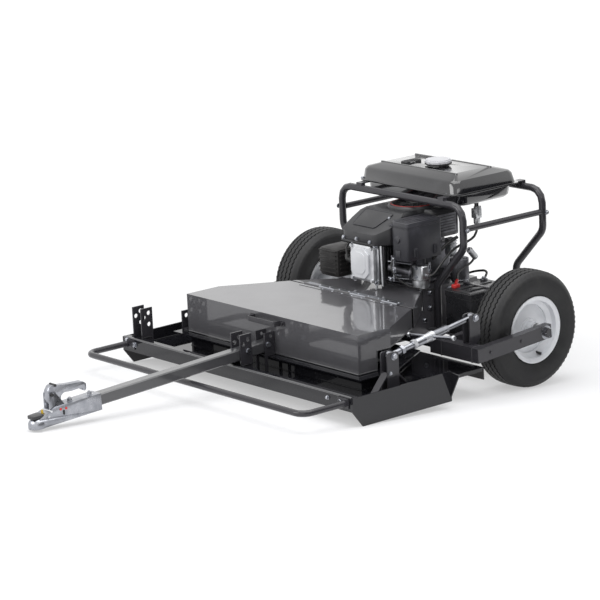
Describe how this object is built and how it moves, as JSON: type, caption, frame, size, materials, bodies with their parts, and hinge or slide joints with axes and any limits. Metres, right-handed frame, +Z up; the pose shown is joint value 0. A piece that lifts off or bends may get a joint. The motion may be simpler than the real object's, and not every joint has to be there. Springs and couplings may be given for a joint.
{
  "type": "tow-behind mower",
  "caption": "Tow-behind rotary brush mower: ball coupler and tow bar, low deck with blades, hinged belt cover, caged engine with top tank, and an adjustable wheeled axle.",
  "frame": {"origin": "centre of the bounding box on the ground", "axes": "+X is the machine's left, -Y is the way it is towed, +Z is up; it stands on its tyres and its skirts' front corners"},
  "size_m": [1.3448, 2.0448, 0.7358],
  "materials": {
    "gloss_black": "glossy black paint",
    "cover_grey": "semi-gloss dark grey paint",
    "frame_black": "satin black paint",
    "zinc": "bright zinc plating",
    "bare_steel": "bare and phosphated steel",
    "cast_alloy": "die-cast aluminium",
    "cast_iron": "painted casting",
    "black_plastic": "fine-grained black plastic",
    "tank_black": "glossy black tank",
    "screen_red": "red plastic",
    "tyre_rubber": "black tyre rubber with a block tread",
    "hose_rubber": "black rubber",
    "rim_silver": "silver paint"
  },
  "bodies": {
    "frame": {"air_cleaner": "black_plastic", "battery": "black_plastic", "blower_housing": "black_plastic", "brush_bar": "frame_black", "cage_side_tube_left": "frame_black", "cage_side_tube_right": "frame_black", "carburettor": "cast_alloy", "coupler_body": "zinc", "cover_hinge_leaf": "cover_grey", "deck_shell": "gloss_black", "deck_table": "gloss_black", "drive_belt": "hose_rubber", "engine_block": "cast_alloy", "engine_stand": "frame_black", "front_beam": "gloss_black", "front_hoop": "frame_black", "fuel_hose": "hose_rubber", "fuel_tank": "tank_black", "hitch_bracket_front_centre": "frame_black", "hitch_bracket_front_offset": "frame_black", "hitch_bracket_rear_centre": "frame_black", "hitch_bracket_rear_offset": "frame_black", "idler_arm": "bare_steel", "lift_bracket": "frame_black", "muffler": "bare_steel", "rear_cover": "cover_grey", "rear_hoop": "frame_black", "side_skirt_left": "gloss_black", "side_skirt_right": "gloss_black", "spindle_housing_left": "cast_iron", "spindle_housing_right": "cast_iron", "starter_motor": "bare_steel", "tow_bar": "gloss_black", "tow_bar_bolt_front": "zinc", "tow_bar_bolt_rear": "zinc", "valve_cover": "cast_alloy"},
    "axle": {"axle_frame": "frame_black"},
    "wheel_left": {"tyre_left": "tyre_rubber", "rim_left": "rim_silver"},
    "wheel_right": {"tyre_right": "tyre_rubber", "rim_right": "rim_silver"},
    "link_front": {"link_front_eye": "zinc"},
    "link_turnbuckle": {"link_body": "zinc"},
    "link_rear": {"link_rear_eye": "zinc"},
    "lid": {"belt_cover": "cover_grey", "cover_handle": "frame_black"},
    "coupler_lever": {"coupler_handle": "zinc"},
    "coupler_clamp": {"coupler_clamp_jaw": "zinc"},
    "crank": {"crank_pulley": "bare_steel", "flywheel_screen": "screen_red"},
    "spindle_left": {"spindle_shaft_left": "bare_steel", "spindle_pulley_left": "bare_steel", "blade_left": "bare_steel"},
    "spindle_right": {"spindle_shaft_right": "bare_steel", "spindle_pulley_right": "bare_steel", "blade_right": "bare_steel"},
    "idler": {"idler_pulley": "bare_steel"},
    "filler_cap": {"tank_cap": "black_plastic"},
    "fuel_tap": {"fuel_tap_lever": "screen_red"}
  },
  "joints": [
    {"name": "axle_hinge", "type": "hinge", "parent": "frame", "child": "axle", "pos_m": [-0.00441, 0.39666, 0.16689], "axis": [1, 0, 0], "range_deg": [-9.5, 4.8]},
    {"name": "wheel_left_spin", "type": "hinge", "parent": "axle", "child": "wheel_left", "pos_m": [0.52829, 0.69578, 0.206], "axis": [1, 0, 0], "continuous": true},
    {"name": "wheel_right_spin", "type": "hinge", "parent": "axle", "child": "wheel_right", "pos_m": [-0.53711, 0.69578, 0.206], "axis": [1, 0, 0], "continuous": true},
    {"name": "link_front_hinge", "type": "hinge", "parent": "frame", "child": "link_front", "pos_m": [0.55059, 0.0478, 0.20077], "axis": [1, 0, 0], "range_deg": [-1.33, 0.72]},
    {"name": "link_turnbuckle_spin", "type": "hinge", "parent": "link_front", "child": "link_turnbuckle", "pos_m": [0.55059, 0.0478, 0.20077], "axis": [0, 0.9765, 0.2154], "range_deg": [-326.22, 640.74]},
    {"name": "link_rear_slide", "type": "slide", "parent": "link_front", "child": "link_rear", "axis": [0, 0.9765, 0.2154], "range_m": [-0.00942, 0.01816]},
    {"name": "lid_hinge", "type": "hinge", "parent": "frame", "child": "lid", "pos_m": [-0.00441, 0.35552, 0.28572], "axis": [-1, 0, 0], "range_deg": [0, 90]},
    {"name": "coupler_lever_hinge", "type": "hinge", "parent": "frame", "child": "coupler_lever", "pos_m": [-0.00441, -0.94361, 0.11531], "axis": [1, 0, 0], "range_deg": [0, 75]},
    {"name": "coupler_clamp_hinge", "type": "hinge", "parent": "frame", "child": "coupler_clamp", "pos_m": [-0.00441, -0.95997, 0.04701], "axis": [1, 0, 0], "range_deg": [0, 25]},
    {"name": "crank_spin", "type": "hinge", "parent": "frame", "child": "crank", "pos_m": [-0.00441, 0.67225, 0.26061], "axis": [0, -0.0636, 0.998], "continuous": true},
    {"name": "spindle_left_spin", "type": "hinge", "parent": "frame", "child": "spindle_left", "pos_m": [0.27559, 0.12037, 0.22543], "axis": [0, -0.0636, 0.998], "continuous": true},
    {"name": "spindle_right_spin", "type": "hinge", "parent": "frame", "child": "spindle_right", "pos_m": [-0.28441, 0.17027, 0.22862], "axis": [0, -0.0636, 0.998], "continuous": true},
    {"name": "idler_spin", "type": "hinge", "parent": "frame", "child": "idler", "pos_m": [0.22659, 0.4018, 0.24337], "axis": [0, -0.0636, 0.998], "continuous": true},
    {"name": "filler_cap_turn", "type": "hinge", "parent": "frame", "child": "filler_cap", "pos_m": [0.02559, 0.74228, 0.73403], "axis": [0, -0.0636, 0.998], "range_deg": [0, 90]},
    {"name": "fuel_tap_turn", "type": "hinge", "parent": "frame", "child": "fuel_tap", "pos_m": [0.19759, 0.78392, 0.55231], "axis": [1, 0, 0], "range_deg": [0, 90]}
  ],
  "couplings": [
    {"joint": "link_front_hinge", "follows": "axle_hinge", "ratio": 0.13},
    {"joint": "link_turnbuckle_spin", "follows": "axle_hinge", "ratio": -66.92},
    {"joint": "link_rear_slide", "follows": "axle_hinge", "m_per_rad": -0.1065},
    {"joint": "coupler_clamp_hinge", "follows": "coupler_lever_hinge", "ratio": 0.3333},
    {"joint": "spindle_left_spin", "follows": "crank_spin", "ratio": 0.8689},
    {"joint": "spindle_right_spin", "follows": "crank_spin", "ratio": 0.8689},
    {"joint": "idler_spin", "follows": "crank_spin", "ratio": -1.5588}
  ]
}
